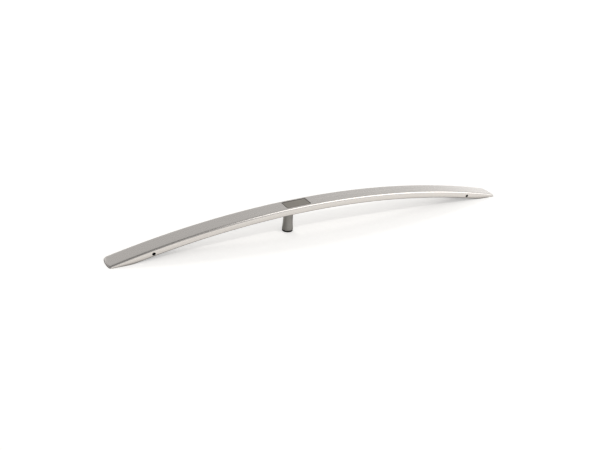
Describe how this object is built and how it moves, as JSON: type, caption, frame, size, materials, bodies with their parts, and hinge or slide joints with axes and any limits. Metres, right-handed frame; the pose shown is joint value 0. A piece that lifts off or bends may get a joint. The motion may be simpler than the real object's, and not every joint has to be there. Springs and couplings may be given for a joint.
{
  "type": "refrigerator door handle",
  "caption": "Long bowed brushed-metal refrigerator door handle with flat-backed tapered ends, side set screws, an off-centre post with a rubber foot and a plain inlaid cover plate.",
  "frame": {"origin": "middle of the handle's length and width, in the plane of the door face that its ends and post rest on", "axes": "+X along the bar, away from the end that the post is nearer; +Y across the bar, away from the side with the set screws; +Z out from the door"},
  "size_m": [0.8, 0.038, 0.0524],
  "materials": {
    "bar": "brushed front, satin sides and back",
    "plate": "darker brushed, no marking",
    "tape": "matte foam tape",
    "post": "grey satin",
    "foot": "matte black",
    "screw": "zinc plated",
    "set_screw": "black oxide"
  },
  "bodies": {
    "root": {"handle_bar": "bar", "cover_plate": "plate", "plate_tape": "tape", "centre_post": "post", "foot_pad": "foot", "post_screw": "screw", "left_set_screw": "set_screw", "right_set_screw": "set_screw"}
  },
  "joints": []
}
